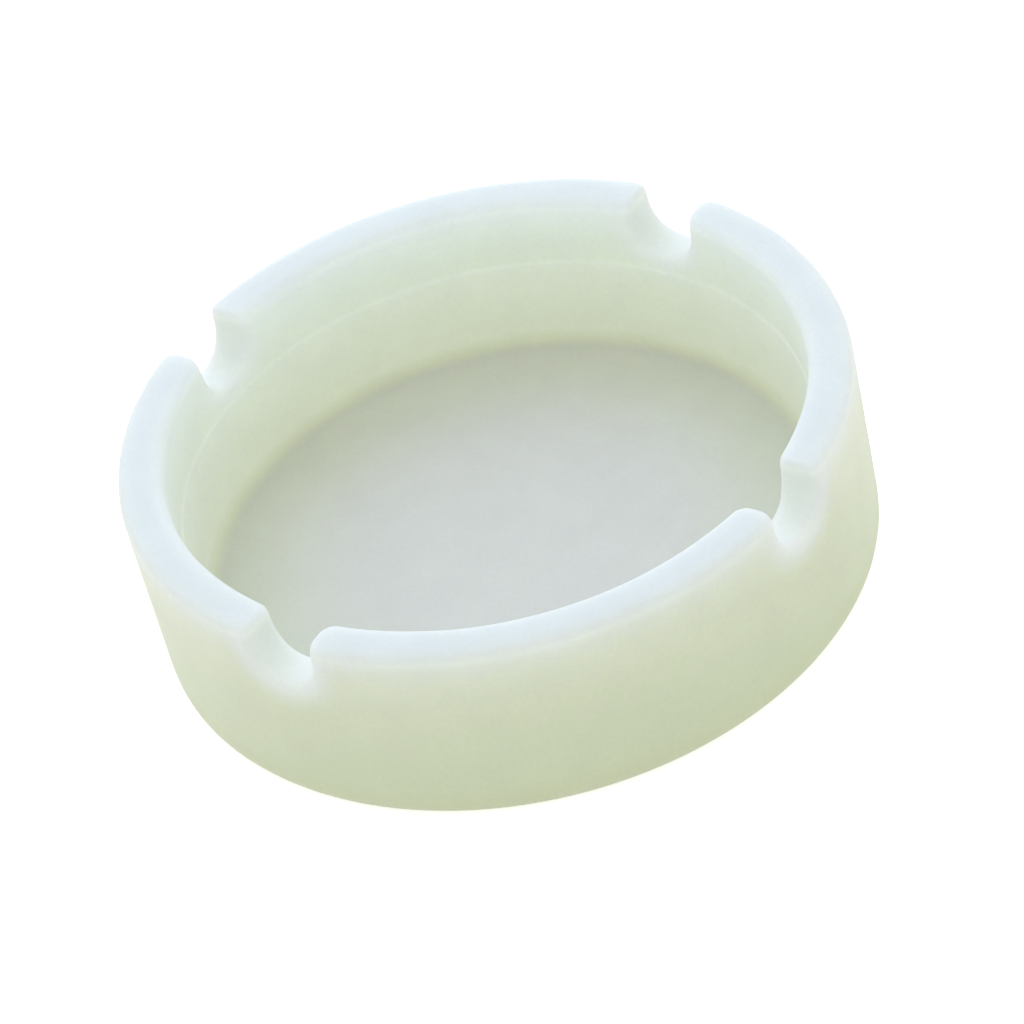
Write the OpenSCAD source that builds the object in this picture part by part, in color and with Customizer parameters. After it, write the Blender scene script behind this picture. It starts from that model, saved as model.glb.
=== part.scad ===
// Round one-piece silicone ashtray: a drafted cup with a thick rounded rim,
// cut by half-round notches that each hold a cigarette.
// The frame is in millimetres, Z up, with the origin at the centre of the base.

/* [Overall] */
// Diameter over the outside of the wall at the rim
rim_d = 84; // [70:0.5:110]
// Height from the base to the top of the rim
height = 24; // [20:0.5:34]

/* [Wall and floor] */
// Thickness of the wall at the rim
wall = 5.2; // [4.2:0.1:8]
// Thickness of the floor
floor_t = 4.4; // [2:0.1:7]
// Lean of the outside, narrower at the base, in degrees
outer_draft = 1.7; // [0:0.1:4]
// Lean of the inside, narrower at the floor, in degrees
inner_draft = 3.2; // [0:0.1:5]

/* [Rounded edges] */
// Radius of the outer edge of the rim
rim_outer_r = 1.6; // [0.6:0.1:2]
// Radius of the inner edge of the rim
rim_inner_r = 1.3; // [0.6:0.1:1.8]
// Radius of the edge round the base
base_r = 1.7; // [0.5:0.1:3]
// Radius where the floor turns up into the wall
floor_r = 2.2; // [0.5:0.1:5]

/* [Rest notches] */
// Number of notches round the rim
notch_count = 4; // [2:1:6]
// Width of a notch between its parallel sides
notch_w = 8; // [6.4:0.1:9.6]
// Depth of a notch below the top of the rim
notch_depth = 6.4; // [5.5:0.1:7.7]
// Radius of the upper corners of a notch
notch_corner_r = 0.6; // [0.4:0.1:1.5]
// Radius round the two mouths of a notch, at the outside and at the bowl
notch_mouth_r = 1.2; // [0.4:0.1:1.6]

/* [Moulding step] */
// Height between the bottom of a notch and the step line round the bowl
step_gap = 1.9; // [1.7:0.1:4]
// Width of the step, by which the wall thickens below the line
step_w = 0.2; // [0.1:0.05:0.5]

/* [Hidden] */
$fn = 96;
// Overlap that carries a cut clear of the surface it leaves through
over = 1;
rim_rad = rim_d / 2;
notch_half = notch_w / 2;
// Heights of the bottom of a notch, of the axis of its half-round bottom and of the step
notch_z = height - notch_depth;
notch_axis_z = notch_z + notch_half;
step_z = notch_z - step_gap;
// The upper corners stop where the straight sides of a notch do
corner_r = min(notch_corner_r, notch_depth - notch_half);
// Flats that make up each rounded edge
arc_steps = 8;

// Radius of the outside wall at height z
function outer_at(z) = rim_rad - (height - z) * tan(outer_draft);

// Radius of the bowl at height z, above the step or, with below = 1, under it
function bowl_at(z, below) =
    rim_rad - wall - (height - z) * tan(inner_draft) - below * step_w;

// Distance from the axis to the centre of a fillet of radius r that lies on the near
// side of a wall, where the wall's radius is wall_rad and its lean is lean degrees
function fillet_x(wall_rad, r, lean) = wall_rad - r / cos(lean);

// Points along an arc of radius r about [x, z], from one angle to another
function arc(x, z, r, from, to) = [
    for (i = [0 : arc_steps])
        let (angle = from + (to - from) * i / arc_steps)
        [x + r * cos(angle), z + r * sin(angle)]
];

// Outline of the wall and floor on one side of the axis: up the outside, over the
// rim, down the bowl past the step, and along the floor
function section() =
    let (
        base_x = fillet_x(outer_at(base_r), base_r, outer_draft),
        rim_z = height - rim_outer_r,
        rim_x = fillet_x(outer_at(rim_z), rim_outer_r, outer_draft),
        lip_z = height - rim_inner_r,
        lip_x = fillet_x(bowl_at(lip_z, 0), -rim_inner_r, inner_draft),
        floor_z = floor_t + floor_r,
        floor_x = fillet_x(bowl_at(floor_z, 1), floor_r, inner_draft)
    )
    concat(
        [[0, 0]],
        arc(base_x, base_r, base_r, -90, -outer_draft),
        arc(rim_x, rim_z, rim_outer_r, -outer_draft, 90),
        arc(lip_x, lip_z, rim_inner_r, 90, 180 - inner_draft),
        [[bowl_at(step_z, 0), step_z], [bowl_at(step_z - step_w, 1), step_z - step_w]],
        arc(floor_x, floor_z, floor_r, -inner_draft, -90),
        [[0, floor_t]]
    );

// Half of a notch seen from above, x outwards and y across: a straight side that
// opens out round both mouths
function notch_half_plan() =
    let (
        inside = bowl_at(notch_z, 0),
        outside = outer_at(notch_z),
        centre_y = notch_half + notch_mouth_r
    )
    concat(
        [[inside - over, 0], [inside - over, centre_y]],
        arc(inside + notch_mouth_r, centre_y, notch_mouth_r, 180, 270),
        arc(outside - notch_mouth_r, centre_y, notch_mouth_r, 270, 360),
        [[outside + over, centre_y], [outside + over, 0]]
    );

// The rounding of one upper corner of a notch, seen along the notch
function notch_corner() =
    concat(
        [[-over, -corner_r]],
        arc(corner_r, -corner_r, corner_r, 180, 90),
        [[corner_r, over], [-over, over]]
    );

// Cut for one notch on the +X side: a round channel, its straight sides up past the
// rim, and the rounding of its two upper corners
module notch_cut() {
    translate([0, 0, notch_axis_z])
        rotate([0, 90, 0])
        rotate_extrude()
        polygon([for (p = notch_half_plan()) [p.y, p.x]]);
    for (side = [0, 1])
        mirror([0, side, 0]) {
            translate([0, 0, notch_axis_z])
                linear_extrude(notch_half + notch_depth)
                polygon(notch_half_plan());
            translate([bowl_at(height, 0) - over, notch_half, height])
                rotate([90, 0, 90])
                linear_extrude(wall + 2 * over)
                polygon(notch_corner());
        }
}

module tray_body() {
    color("honeydew")
    difference() {
        rotate_extrude() polygon(section());
        for (i = [0 : notch_count - 1])
            rotate([0, 0, i * 360 / notch_count]) notch_cut();
    }
}

tray_body();
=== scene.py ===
# %% [markdown]
# # A one-piece silicone ashtray
#
# The real object is a single rubber moulding. Silicone gum is pressed and cured in a
# steel tool with a cavity for the outside and a core for the bowl, and the finished
# piece is pulled off the core. So there is one visible piece here, one finish, and no
# seam where two parts would meet.
#
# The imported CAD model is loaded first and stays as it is. The main sizes below are
# measured on it, so the visible piece can't drift from it.

# %% Load the frame
import math

import bmesh
import bpy
from mathutils import Matrix, Vector
from mathutils.bvhtree import BVHTree


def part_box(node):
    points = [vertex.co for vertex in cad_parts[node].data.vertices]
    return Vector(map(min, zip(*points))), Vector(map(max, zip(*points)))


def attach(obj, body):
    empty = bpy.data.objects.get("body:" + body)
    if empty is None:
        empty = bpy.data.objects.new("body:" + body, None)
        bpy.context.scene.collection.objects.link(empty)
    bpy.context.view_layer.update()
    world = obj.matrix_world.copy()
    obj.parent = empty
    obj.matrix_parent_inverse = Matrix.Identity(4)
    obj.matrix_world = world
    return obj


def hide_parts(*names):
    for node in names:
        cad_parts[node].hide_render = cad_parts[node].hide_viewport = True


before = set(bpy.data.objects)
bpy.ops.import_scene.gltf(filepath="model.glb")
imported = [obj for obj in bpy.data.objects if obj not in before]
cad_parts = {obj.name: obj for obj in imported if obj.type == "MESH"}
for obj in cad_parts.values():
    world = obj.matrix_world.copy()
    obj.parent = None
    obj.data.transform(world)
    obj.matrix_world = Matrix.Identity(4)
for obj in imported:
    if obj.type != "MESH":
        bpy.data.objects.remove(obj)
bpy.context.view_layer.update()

MM = 0.001

# %% [markdown]
# ## Measuring the CAD model
#
# A probe is a straight ray sent at the CAD solid, as a gauge is pushed against a part
# on a bench. Probes along the diagonal meet plain wall, because the notches lie on the
# X and Y axes. Two probes give the lean of a wall, and the lean carries it on to the
# sharp corner that it would have before its edge is rounded.

# %% Two kinds of probe
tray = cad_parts["tray_body"]
solid = BVHTree.FromObject(tray, bpy.context.evaluated_depsgraph_get())
DIAGONAL = Vector((1, 1, 0)).normalized()
# A distance in metres that is well outside the piece
FAR = 0.2


def probe(start, direction):
    """The first place where a ray from start meets the CAD solid."""
    return solid.ray_cast(Vector(start), Vector(direction))[0]


def wall_line(low, high, inside):
    """A wall's radius as a function of height, from probes at two heights."""
    radii = []
    for z in (low, high):
        start = Vector((0, 0, z)) if inside else DIAGONAL * FAR + Vector((0, 0, z))
        radii.append(probe(start, DIAGONAL if inside else -DIAGONAL).xy.length)
    lean = (radii[1] - radii[0]) / (high - low)
    return lambda z: radii[0] + (z - low) * lean


print("the CAD solid has", len(tray.data.polygons), "triangles to probe")

# %% Probe the walls, the floor and one notch
# Shares of the height between which the outside is plain wall
PLAIN_LOW = 0.3
PLAIN_HIGH = 0.8
# How far a probe stays from a rounded edge or from the step
CLEAR_OF_RIM = 2 * MM
CLEAR_OF_STEP = 1 * MM
CLEAR_OF_FLOOR = 4 * MM
HALF_WALL = 2.6 * MM
STEP_BELOW_NOTCH = 1.9 * MM

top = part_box("tray_body")[1][2]
floor_z = probe((0, 0, FAR), (0, 0, -1)).z
outside = wall_line(top * PLAIN_LOW, top * PLAIN_HIGH, inside=False)
mid_wall = outside(top) - HALF_WALL
notch_z = probe((mid_wall, 0, FAR), (0, 0, -1)).z
notch_half = probe((mid_wall, 0, top - CLEAR_OF_RIM), (0, 1, 0)).y
step_z = notch_z - STEP_BELOW_NOTCH
bowl_above = wall_line(step_z + CLEAR_OF_STEP, top - CLEAR_OF_RIM, inside=True)
bowl_below = wall_line(floor_z + CLEAR_OF_FLOOR, step_z - CLEAR_OF_STEP, inside=True)
for name, size in {
    "outside radius at the rim": outside(top), "outside radius at the base": outside(0),
    "bowl radius at the rim": bowl_above(top), "bowl radius at the floor": bowl_below(floor_z),
    "height of the floor": floor_z, "height of a notch's bottom": notch_z,
    "half the width of a notch": notch_half, "height of the step": step_z,
}.items():
    print("%s: %.2f mm" % (name, size / MM))

# %% [markdown]
# ## The cage, a turned section
#
# The smooth rubber form is a subdivision surface: a coarse cage of four-sided faces
# that Blender rounds off. The cage starts as the cross-section, spun round the Z axis.
# Its corners stay sharp. How round an edge comes out depends on how far the next row
# of the cage is from it, so each edge has a row on either side at a set distance, and
# there is no bevel to clean up where the rim turns down into a notch.

# %% The columns, and the rows that a notch needs
COLUMNS = 128
NOTCHES = 4
# Columns from one notch to the next, and from a notch's middle to its edge
PITCH = COLUMNS // NOTCHES
HALF_COLUMNS = 2
COLUMN_ANGLE = 2 * math.pi / COLUMNS

# A notch bottom is half of a round bar. One row is where its straight side starts, and
# the others are part of the way down, all given in eighths of a turn from the bottom
EIGHTH = math.radians(45)
BAR_TURNS = (2, 1.5, 1)
notch_axis_z = notch_z + notch_half
row_heights = [top] + [notch_axis_z - notch_half * math.cos(EIGHTH * turn) for turn in BAR_TURNS]
LOWEST_ROW = len(BAR_TURNS)
print("rows of a notch, mm:", [round(z / MM, 2) for z in row_heights])

# %% The rows up the two walls
# An edge that has a row at this many times its radius on each side comes out with that
# radius
REACH = 1.757
BASE_RADIUS = 1.7 * MM
FLOOR_RADIUS = 2.2 * MM
MOUTH_RADIUS = 1.4 * MM
base_reach = REACH * BASE_RADIUS
floor_reach = REACH * FLOOR_RADIUS

# Heights and radii in mm of plain rows and rings, which only keep the faces near square
OUTSIDE_ROWS = (6.6, 9.9, 12.8)
BOWL_ROW = 12
BASE_RINGS = (0, 13, 26)
FLOOR_RINGS = (21, 10, 0)

# The step's two corners each have a row very near them and a row further off, which
# keep it crisp
STEP_WIDTH = 0.2 * MM
STEP_NEAR = 0.03 * MM
STEP_FAR = 0.45 * MM

low_rows = [base_reach] + [z * MM for z in OUTSIDE_ROWS] + [notch_z - REACH * MOUTH_RADIUS]
step_rows = [
    (bowl_above, step_z + STEP_FAR),
    (bowl_above, step_z + STEP_NEAR),
    (bowl_below, step_z - STEP_WIDTH - STEP_NEAR),
    (bowl_below, step_z - STEP_WIDTH - STEP_FAR),
    (bowl_below, BOWL_ROW * MM),
    (bowl_below, floor_z + floor_reach),
]
print("rows below the notches:", len(low_rows), "outside and", len(step_rows), "in the bowl")

# %% Spin the section
# Vertices that are closer than this are the same vertex
TOUCH = 0.01 * MM

section = [(r * MM, 0) for r in BASE_RINGS]
section += [(outside(0) - base_reach, 0), (outside(0), 0)]
section += [(outside(z), z) for z in low_rows]
section += [(outside(z), z) for z in reversed(row_heights)]
section += [(bowl_above(z), z) for z in row_heights]
section += [(wall(z), z) for wall, z in step_rows]
section += [(bowl_below(floor_z), floor_z), (bowl_below(floor_z) - floor_reach, floor_z)]
section += [(r * MM, floor_z) for r in FLOOR_RINGS]

cage = bmesh.new()
crease = cage.edges.layers.float.new("crease_edge")
points = [cage.verts.new((r, 0, z)) for r, z in section]
edges = [cage.edges.new(pair) for pair in zip(points, points[1:])]
bmesh.ops.spin(cage, geom=points + edges, cent=(0, 0, 0), axis=(0, 0, 1), dvec=(0, 0, 0),
               angle=2 * math.pi, steps=COLUMNS, use_merge=True)
bmesh.ops.remove_doubles(cage, verts=cage.verts, dist=TOUCH)
bmesh.ops.recalc_face_normals(cage, faces=cage.faces)
print("turned cage:", len(cage.verts), "vertices,", len(cage.faces), "faces")

# %% [markdown]
# ## The notches
#
# In the tool a notch is a round bar laid across the wall, so it leaves a channel with
# parallel sides and a half-round bottom. In the cage the faces of the channel are
# taken out of both walls and the rim, and the two open edges that are left are bridged
# with new faces. Then the vertices on the two edges move on to the outline of the bar,
# and their neighbours on the walls are relaxed, so that the columns flow round it.

# %% Where a place is, counted in columns, notches and rows
mid_radius = (outside(top) + bowl_above(top)) / 2


def column_of(co):
    """The column that a place lies on, counted from the nearest notch's middle."""
    column = math.atan2(co.y, co.x) / COLUMN_ANGLE
    return (column + PITCH / 2) % PITCH - PITCH / 2


def notch_number(co):
    """The number of the nearest notch, counted from the one on +X."""
    return round(math.atan2(co.y, co.x) / (PITCH * COLUMN_ANGLE)) % NOTCHES


def row_of(co):
    """The number of the notch row that a vertex lies on, or None if it's on none."""
    near = [row for row, z in enumerate(row_heights) if abs(co.z - z) < TOUCH]
    return near[0] if near else None


def crosses_wall(edge):
    """Whether an edge has one end on the outer wall and the other on the bowl's."""
    return len({v.co.xy.length > mid_radius for v in edge.verts}) == 2


print("the middle of the wall is at a radius of %.2f mm" % (mid_radius / MM))

# %% Open the notches and bridge them


def in_notch(face):
    """Whether a face lies in the channel of a notch."""
    centre = face.calc_center_median()
    return abs(column_of(centre)) < HALF_COLUMNS and centre.z > row_heights[LOWEST_ROW]


bmesh.ops.delete(cage, geom=[f for f in cage.faces if in_notch(f)], context="FACES")
open_edges = [e for e in cage.edges if e.is_boundary and not crosses_wall(e)]
for number in range(NOTCHES):
    both = [e for e in open_edges if notch_number(e.verts[0].co) == number]
    bmesh.ops.bridge_loops(cage, edges=both)
bmesh.ops.recalc_face_normals(cage, faces=cage.faces)
print("open edges left:", sum(e.is_boundary for e in cage.edges))

# The edges across the rim and the channels are cut later on, for a row along their middle
crossing = [e for e in cage.edges
            if crosses_wall(e) and min(v.co.z for v in e.verts) > step_z]

# %% Bend the open edges to the bar's outline
# Subdivision moves a vertex to two thirds of its own place and a third of the middle
# between its neighbours, which pulls a ring of them in. So the ring starts wider.
bar_radius = notch_half * 3 / (2 + math.cos(EIGHTH / 2))


def outline(side, row):
    """How far across and how high a vertex of a notch's edge goes, from its side column."""
    if row == 0:
        return notch_half, top
    turn = EIGHTH * BAR_TURNS[row - 1] * side / HALF_COLUMNS
    return bar_radius * math.sin(turn), notch_axis_z - bar_radius * math.cos(turn)


def wall_radius(z, is_outside):
    """The radius of the outer wall or of the bowl's wall at a height."""
    return outside(z) if is_outside else bowl_above(z)


fixed = set()
for v in cage.verts:
    row = row_of(v.co)
    column = round(column_of(v.co))
    side = abs(column)
    on_side = side == HALF_COLUMNS and row is not None
    on_bottom = side < HALF_COLUMNS and row == LOWEST_ROW
    if on_side or on_bottom:
        across, up = outline(side, row)
        radius = wall_radius(up, v.co.xy.length > mid_radius)
        place = Vector((math.sqrt(radius**2 - across**2), math.copysign(across, column), up))
        v.co = Matrix.Rotation(notch_number(v.co) * PITCH * COLUMN_ANGLE, 3, "Z") @ place
        fixed.add(v)
print("vertices on the notch outlines:", len(fixed))

# %% Relax the walls round each notch
RELAX_COLUMNS = 9
RELAX_STEPS = 12
RELAX_SHARE = 0.5
RELAX_FROM = 8 * MM
BELOW_TOP = 1 * MM
ABOVE_STEP = 0.5 * MM

loose = [v for v in cage.verts if v not in fixed and abs(column_of(v.co)) < RELAX_COLUMNS]
rim_line = [v for v in loose if abs(v.co.z - top) < TOUCH]
outer_side = [v for v in loose if v.co.xy.length > mid_radius
              and RELAX_FROM < v.co.z < top - BELOW_TOP]
bowl_side = [v for v in loose if bowl_below(floor_z) < v.co.xy.length < mid_radius
             and step_z + ABOVE_STEP < v.co.z < top - BELOW_TOP]
for _ in range(RELAX_STEPS):
    bmesh.ops.smooth_vert(cage, verts=rim_line + outer_side + bowl_side, factor=RELAX_SHARE,
                          use_axis_x=True, use_axis_y=True, use_axis_z=True)
    # Each vertex then goes back on to its own wall, and the rim's back up to the top
    for group, is_outside in ((outer_side, True), (bowl_side, False)):
        for v in group:
            v.co.xy = v.co.xy.normalized() * wall_radius(v.co.z, is_outside)
    for v in rim_line:
        v.co.z = top
        v.co.xy = v.co.xy.normalized() * wall_radius(top, v.co.xy.length > mid_radius)
print("relaxed:", len(rim_line) + len(outer_side) + len(bowl_side), "vertices")

# %% Add the middle row, and firm up the notches' corners
CORNER_CREASE = 0.35
for edge in crossing:
    if all(v in fixed and abs(v.co.z - top) < TOUCH for v in edge.verts):
        edge[crease] = CORNER_CREASE
bmesh.ops.subdivide_edges(cage, edges=crossing, cuts=1, use_grid_fill=True)
bmesh.ops.recalc_face_normals(cage, faces=cage.faces)
for face in cage.faces:
    face.smooth = True
sides = [len(face.verts) for face in cage.faces]
print("cage:", len(sides), "faces, of which", sides.count(3), "are triangles that meet at the two",
      "centres, and", sum(count > 4 for count in sides), "have over four sides")

# %% Make the piece
SUBDIVISIONS = 2
mesh = bpy.data.meshes.new("ashtray_moulding")
cage.to_mesh(mesh)
cage.free()
moulding = bpy.data.objects.new("ashtray_moulding", mesh)
bpy.context.scene.collection.objects.link(moulding)
rounding = moulding.modifiers.new("rounding", "SUBSURF")
rounding.levels = rounding.render_levels = SUBDIVISIONS
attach(moulding, "root")
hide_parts("tray_body")
print(moulding.name, "stands for tray_body, with a cage subdivided", SUBDIVISIONS, "times")

# %% [markdown]
# ## The rubber
#
# Luminous silicone is clear rubber filled with a pale glow powder, and it is pressed in
# a tool with a fine matt finish. Light goes a few millimetres into it before it comes
# out again. Near a free edge, where light gets in from two sides, it is a cooler white,
# and in the thick wall it turns yellow-green. Scattering under the surface gives the
# softness. The base colour holds the rubber's colour and painted light as well, so that
# the piece keeps its look in a program that doesn't scatter light. It has a painted cool
# top light on the rim and in the notches, with a painted highlight round each notch's
# mouth, painted shade that darkens the outer wall towards the base and the bowl's
# corner, brighter painted light on the bowl's walls, painted shade that greys the
# floor, and a painted yellow-green bounce from the walls on the floor's outer part.

# %% Colours and a node helper


def linear(hex_colour):
    """An sRGB hex colour as linear RGBA."""
    channels = [int(hex_colour[i:i + 2], 16) / 255 for i in (0, 2, 4)]
    return [c / 12.92 if c <= 0.04045 else ((c + 0.055) / 1.055) ** 2.4 for c in channels] + [1]


def add(tree, kind, inputs=None, **settings):
    """Add a node. An input is a number, a colour, an output, or a node with one output."""
    node = tree.nodes.new("ShaderNode" + kind)
    for name, value in settings.items():
        setattr(node, name, value)
    usable = [socket for socket in node.inputs if socket.enabled]
    for key, value in (inputs or {}).items():
        socket = usable[key] if isinstance(key, int) else next(s for s in usable if s.name == key)
        if isinstance(value, bpy.types.Node):
            value = next(output for output in value.outputs if output.enabled)
        if isinstance(value, bpy.types.NodeSocket):
            tree.links.new(value, socket)
        else:
            socket.default_value = value
    return node


# Heights in mm up each wall, with the rubber's yellow-green and painted light there.
# Painted shade darkens the outer wall towards the base and the bowl's wall at its
# corner with the floor, the bowl's walls are painted lighter for light that comes in
# through the rubber, and the top stops are painted a cool white for the cool top light,
# partly also for the thin edge. The last is the rim
OUTER_WALL_AND_PAINTED_LIGHT = [(0, "D2DAB7"), (4, "DAE2C4"), (10, "DEE5CA"), (15, "E2E8CF"), (19.5, "E7ECDA"),
              (22.8, "E9EFE8"), (24, "D2DADB")]
BOWL_WALL_AND_PAINTED_LIGHT = [(4.8, "DCE0C4"), (6.4, "E8ECDC"), (12, "E9EEE1"), (17, "E9EFE5"), (21, "EAF1EC"),
             (22.9, "E6EEED"), (24, "D2DADB")]
# Painted light in the notches: the channels are a paler, cooler colour for the cool top light on
# their upward faces, and the mouth round each is lighter still, a painted highlight
NOTCH_PAINTED_TOP_LIGHT = linear("E1E7E3")
MOUTH_PAINTED_HIGHLIGHT = linear("E9EFEB")
# The floor's grey is painted shade, and towards the bowl's wall it takes a painted yellow-green
# bounce from the walls
FLOOR_PAINTED_SHADE = linear("CCCEC9")
FLOOR_PAINTED_BOUNCE = linear("CED2C3")
print("rim colour, linear:", [round(c, 3) for c in linear(OUTER_WALL_AND_PAINTED_LIGHT[-1][1])[:3]])

# %% Silicone: where a point is on the piece
silicone = bpy.data.materials.new("moulded_luminous_silicone")
silicone.use_nodes = True
tree = silicone.node_tree
shader = tree.nodes["Principled BSDF"]
SMOOTH = {"interpolation_type": "SMOOTHSTEP"}

coordinates = add(tree, "TexCoord").outputs["Object"]
x, y, z = add(tree, "SeparateXYZ", {0: coordinates}).outputs
level = add(tree, "CombineXYZ", {"X": x, "Y": y})
radius = add(tree, "VectorMath", {0: level}, operation="LENGTH")
share = add(tree, "Math", {0: z, 1: top}, operation="DIVIDE")

# Radii in mm, from where each place's colour starts to where it has taken over
TAKES_OVER = {"bowl": (38.5, 37), "notches": (20, 30), "floor": (35.3, 33.8), "floor edge": (16, 33)}
within = {}
for place, (start, end) in TAKES_OVER.items():
    within[place] = add(tree, "MapRange", {"Value": radius, "From Min": start * MM,
                                           "From Max": end * MM}, **SMOOTH)
print("places told apart by radius:", ", ".join(within))

# %% Silicone: the colour and painted light up the two walls
walls = []
for stops in (OUTER_WALL_AND_PAINTED_LIGHT, BOWL_WALL_AND_PAINTED_LIGHT):
    ramp = add(tree, "ValToRGB", {0: share})
    elements = ramp.color_ramp.elements
    for number, (height_mm, hex_colour) in enumerate(stops):
        # A new ramp has two stops already
        stop = elements[number] if number < 2 else elements.new(1)
        stop.position = height_mm * MM / top
        stop.color = linear(hex_colour)
    walls.append(ramp.outputs["Color"])
wall = add(tree, "Mix", {"Factor": within["bowl"], "A": walls[0], "B": walls[1]}, data_type="RGBA")
print("colours up the walls:", len(OUTER_WALL_AND_PAINTED_LIGHT), "outside and", len(BOWL_WALL_AND_PAINTED_LIGHT), "in the bowl")

# %% Silicone: painted top light in the notches
# The notches lie along X and Y, so the smaller of the two is how far a point is across one
# The notches' painted top light fades out over the first distance round a channel, and comes in over
# the second below the top
NOTCH_FADE = 4.5 * MM
RIM_FADE = 2.5 * MM
abs_x = add(tree, "Math", {0: x}, operation="ABSOLUTE")
abs_y = add(tree, "Math", {0: y}, operation="ABSOLUTE")
across = add(tree, "Math", {0: abs_x, 1: abs_y}, operation="MINIMUM")
above = add(tree, "Math", {0: z, 1: notch_axis_z}, operation="SUBTRACT")
beside = add(tree, "CombineXYZ", {"X": across, "Y": above})
from_axis = add(tree, "VectorMath", {0: beside}, operation="LENGTH")
notch_painted_light_share = add(tree, "MapRange", {"Value": from_axis, "From Min": notch_half + NOTCH_FADE,
                                    "From Max": notch_half}, **SMOOTH)
below_rim = add(tree, "MapRange", {"Value": z, "From Min": top, "From Max": top - RIM_FADE},
                **SMOOTH)
for limit in (within["notches"], below_rim):
    notch_painted_light_share = add(tree, "Math", {0: notch_painted_light_share, 1: limit}, operation="MULTIPLY")
# Round each channel's mouth the colour goes lighter: a painted highlight on the rounded edge
in_channel = add(tree, "MapRange", {"Value": from_axis, "From Min": notch_half + MOUTH_RADIUS,
                                    "From Max": notch_half}, **SMOOTH)
channel = add(tree, "Mix", {"Factor": in_channel, "A": MOUTH_PAINTED_HIGHLIGHT, "B": NOTCH_PAINTED_TOP_LIGHT},
              data_type="RGBA")
body = add(tree, "Mix", {"Factor": notch_painted_light_share, "A": wall, "B": channel}, data_type="RGBA")
print("the notches' colour fades out over %.1f mm" % (NOTCH_FADE / MM))

# %% Silicone: the floor's painted shade and painted bounce
# Painted shade greys the floor, and from 16 mm out a painted yellow-green bounce from the walls
# comes in
floor = add(tree, "Mix", {"Factor": within["floor edge"], "A": FLOOR_PAINTED_SHADE,
                          "B": FLOOR_PAINTED_BOUNCE}, data_type="RGBA")
colour = add(tree, "Mix", {"Factor": within["floor"], "A": body, "B": floor}, data_type="RGBA")
print("silicone nodes so far:", len(tree.nodes))

# %% Silicone: powder and tool finish
# The glow powder is not spread quite evenly, and shows as a faint mottle. The tool's
# finish is near 0.05 mm, which is too fine to show, so it is drawn ten times as coarse.
MOTTLE = 5 * MM
GRAIN = 0.5 * MM
# Each changes the shade by this much either way, over the values that its noise mostly has
SHADE = 0.015
NOISE_LOW = 0.3
NOISE_HIGH = 0.7
FINISH_STRENGTH = 0.25
FINISH_HEIGHT = 0.02 * MM
shades = []
for size, detail in ((MOTTLE, 4.0), (GRAIN, 2.0)):
    noise = add(tree, "TexNoise", {"Vector": coordinates, "Scale": 1 / size, "Detail": detail})
    shades.append(add(tree, "MapRange", {"Value": noise, "From Min": NOISE_LOW,
                                         "From Max": NOISE_HIGH, "To Min": 1 - SHADE,
                                         "To Max": 1 + SHADE}))
shade = add(tree, "Math", {0: shades[0], 1: shades[1]}, operation="MULTIPLY")
mottled = add(tree, "HueSaturation", {"Value": shade, "Color": colour})
# The loop's last noise is the grain, which is also the relief of the finish
finish = add(tree, "Bump", {"Strength": FINISH_STRENGTH, "Distance": FINISH_HEIGHT,
                            "Height": noise})
tree.links.new(mottled.outputs["Color"], shader.inputs["Base Color"])
tree.links.new(finish.outputs["Normal"], shader.inputs["Normal"])
print("mottle of %.1f mm and grain of %.1f mm" % (MOTTLE / MM, GRAIN / MM))

# %% Silicone: gloss and scattering
# Cured rubber from a matt tool has a broad, weak highlight. Light goes about 4 mm into
# it, and blue a little less far.
RUBBER = {"Roughness": 0.55, "IOR": 1.41, "Subsurface Weight": 0.8,
          "Subsurface Radius": (1.0, 1.0, 0.8), "Subsurface Scale": 4 * MM}
for name, value in RUBBER.items():
    shader.inputs[name].default_value = value
mesh.materials.append(silicone)
print("silicone nodes:", len(tree.nodes))

# %% [markdown]
# ## The camera
#
# The ashtray is seen from about 39 degrees above the table, with a long lens from 0.8 m
# away, so that the near and far sides of the rim are almost the same size. The camera
# stands between two of the notches, and is rolled to one side by 14 degrees.

# %% Camera
CAMERA_ANGLE = math.radians(-47.42)
CAMERA_RISE = math.radians(39.16)
CAMERA_DISTANCE = 798.6 * MM
CAMERA_ROLL = math.radians(14.474)
AIM_RIGHT = 0.37 * MM
AIM_UP = 8.37 * MM
# Both in mm, as on a real camera
LENS = 246.77
SENSOR = 36

flat = Vector((math.cos(CAMERA_ANGLE), math.sin(CAMERA_ANGLE), 0))
right = Vector((-flat.y, flat.x, 0))
eye = (flat * math.cos(CAMERA_RISE) + Vector((0, 0, 1)) * math.sin(CAMERA_RISE)) * CAMERA_DISTANCE
aim = right * AIM_RIGHT + Vector((0, 0, AIM_UP))
camera = bpy.data.objects.new("camera", bpy.data.cameras.new("camera"))
bpy.context.scene.collection.objects.link(camera)
camera.data.lens = LENS
camera.data.sensor_width = SENSOR
look = (aim - eye).to_track_quat("-Z", "Y").to_matrix().to_4x4()
camera.matrix_world = Matrix.Translation(eye) @ look @ Matrix.Rotation(-CAMERA_ROLL, 4, "Z")
bpy.context.scene.camera = camera
print("camera at", [round(v / MM) for v in eye], "mm")

# %% [markdown]
# ## Table and light
#
# A pale piece on a pure white ground is shown on a white acrylic sheet that is lit
# until it has no tone left. The sheet here has a little light of its own for that, and
# it lets the world's lower half reach the piece, which stands for the light that comes
# up through it. Above is an even white sky, as inside a light tent, and one large cool
# softbox behind the piece, which shades the far end of the bowl.

# %% Table
# Half the width in metres, and how strongly the sheet glows
TABLE_HALF = 3
TABLE_GLOW = 0.45
TABLE = {"Base Color": linear("F2F2F2"), "Roughness": 0.9, "Specular IOR Level": 0,
         "Emission Color": linear("FFFFFF"), "Emission Strength": TABLE_GLOW}

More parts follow.
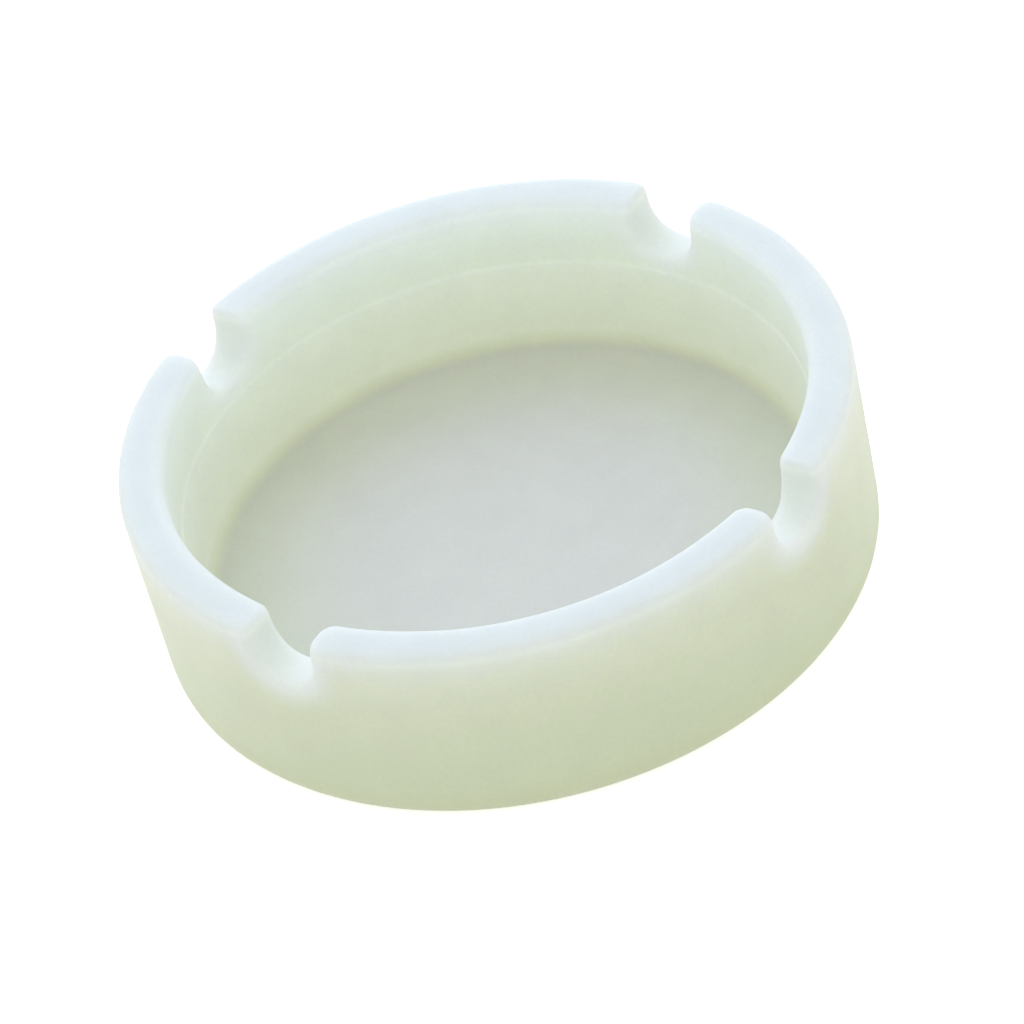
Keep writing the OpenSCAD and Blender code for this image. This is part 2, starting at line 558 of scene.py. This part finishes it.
table_mesh = bpy.data.meshes.new("studio_table")
table_cage = bmesh.new()
bmesh.ops.create_grid(table_cage, x_segments=1, y_segments=1, size=TABLE_HALF)
table_cage.to_mesh(table_mesh)
table_cage.free()
table = bpy.data.objects.new("studio_table", table_mesh)
bpy.context.scene.collection.objects.link(table)
table.visible_diffuse = False

white = bpy.data.materials.new("lit_white_acrylic")
white.use_nodes = True
for name, value in TABLE.items():
    white.node_tree.nodes["Principled BSDF"].inputs[name].default_value = value
table_mesh.materials.append(white)
print("table:", 2 * TABLE_HALF, "m wide")

# %% Sky
SKY_LIGHT = 0.99
TABLE_LIGHT = 0.82
# The lower half's light gives way to the sky's just below the horizon, at this height
HORIZON = -0.05

world = bpy.data.worlds.new("studio")
bpy.context.scene.world = world
world.use_nodes = True
sky = world.node_tree
direction = add(sky, "TexCoord").outputs["Generated"]
height = add(sky, "SeparateXYZ", {0: direction}).outputs["Z"]
strength = add(sky, "MapRange", {"Value": height, "From Min": HORIZON, "From Max": 0.0,
                                 "To Min": TABLE_LIGHT, "To Max": SKY_LIGHT})
sky.links.new(strength.outputs[0], sky.nodes["Background"].inputs["Strength"])
sky.nodes["Background"].inputs["Color"].default_value = linear("FFFFFF")
print("light from above", SKY_LIGHT, "and from below", TABLE_LIGHT)

# %% Softbox
# Its power in watts, and its size and place in metres, behind the piece and above it
SOFTBOX_POWER = 2.2
SOFTBOX_SIZE = 0.6
SOFTBOX_BACK = 0.6
SOFTBOX_UP = 0.55

light = bpy.data.lights.new("softbox", "AREA")
light.energy = SOFTBOX_POWER
light.size = SOFTBOX_SIZE
light.color = linear("C8DCFF")[:3]
softbox = bpy.data.objects.new("softbox", light)
softbox.location = -flat * SOFTBOX_BACK + Vector((0, 0, SOFTBOX_UP))
softbox.rotation_euler = softbox.location.to_track_quat("Z", "Y").to_euler()
bpy.context.scene.collection.objects.link(softbox)
bpy.context.scene.view_settings.view_transform = "Standard"
print("softbox %.2f m from the piece" % softbox.location.length)
